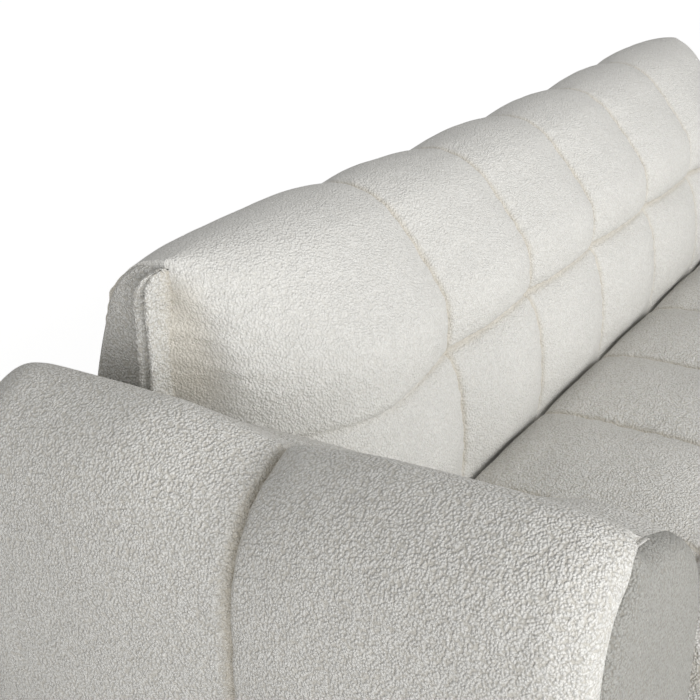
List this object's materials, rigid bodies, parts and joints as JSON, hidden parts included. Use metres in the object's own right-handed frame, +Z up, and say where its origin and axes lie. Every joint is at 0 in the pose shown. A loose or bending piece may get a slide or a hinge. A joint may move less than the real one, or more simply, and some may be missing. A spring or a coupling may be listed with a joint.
{
  "type": "sofa",
  "caption": "Long upholstered sofa with a deep quilted back, a channelled bench seat and fat rolled arms in cream boucle, built on a plywood rib frame with short hidden legs",
  "frame": {"origin": "bottom centre of the bounding box, on the floor under the middle of the sofa", "axes": "X runs along the length of the sofa, -Y is the front where one sits down, +Z is up"},
  "size_m": [2.5268, 0.9647, 0.8927],
  "materials": {
    "boucle": "matte",
    "foam": "matte",
    "strap": "matte",
    "under_cloth": "matte",
    "timber": "satin",
    "plywood": "matte",
    "leg_wood": "satin",
    "felt": "matte",
    "steel": "satin"
  },
  "bodies": {
    "root": {"arm_bolts": "steel", "arm_bottom_rail_left": "plywood", "arm_bottom_rail_right": "plywood", "arm_flange_left": "boucle", "arm_flange_right": "boucle", "arm_foam_left": "foam", "arm_foam_right": "foam", "arm_front_panel_left": "boucle", "arm_front_panel_right": "boucle", "arm_front_puff_left": "boucle", "arm_front_puff_right": "boucle", "arm_mounting_board_left": "plywood", "arm_mounting_board_right": "plywood", "arm_rear_puff_left": "boucle", "arm_rear_puff_right": "boucle", "arm_ribs_left": "plywood", "arm_ribs_right": "plywood", "arm_top_rail_left": "plywood", "arm_top_rail_right": "plywood", "back_bottom_rail": "plywood", "back_cover": "boucle", "back_end_foam": "foam", "back_end_panel_left": "boucle", "back_end_panel_right": "boucle", "back_flange_left": "boucle", "back_flange_right": "boucle", "back_foam_lower": "foam", "back_foam_upper": "foam", "back_lumbar_rail": "plywood", "back_ribs": "plywood", "back_top_rail": "plywood", "back_webbing": "strap", "corner_blocks": "timber", "deck_cloth": "under_cloth", "dust_cover": "under_cloth", "front_border": "boucle", "inside_arm_pad_left": "boucle", "inside_arm_pad_right": "boucle", "leg_blocks": "timber", "leg_front_centre": "leg_wood", "leg_front_left": "leg_wood", "leg_front_right": "leg_wood", "leg_glides": "felt", "leg_plates": "steel", "leg_rear_centre": "leg_wood", "leg_rear_left": "leg_wood", "leg_rear_right": "leg_wood", "outside_back_panel": "boucle", "seat_back_rail": "timber", "seat_cover": "boucle", "seat_end_rail_left": "timber", "seat_end_rail_right": "timber", "seat_foam": "foam", "seat_front_rail": "timber", "seat_stretchers": "timber", "seat_webbing_cross": "strap", "seat_webbing_long": "strap"}
  },
  "joints": []
}
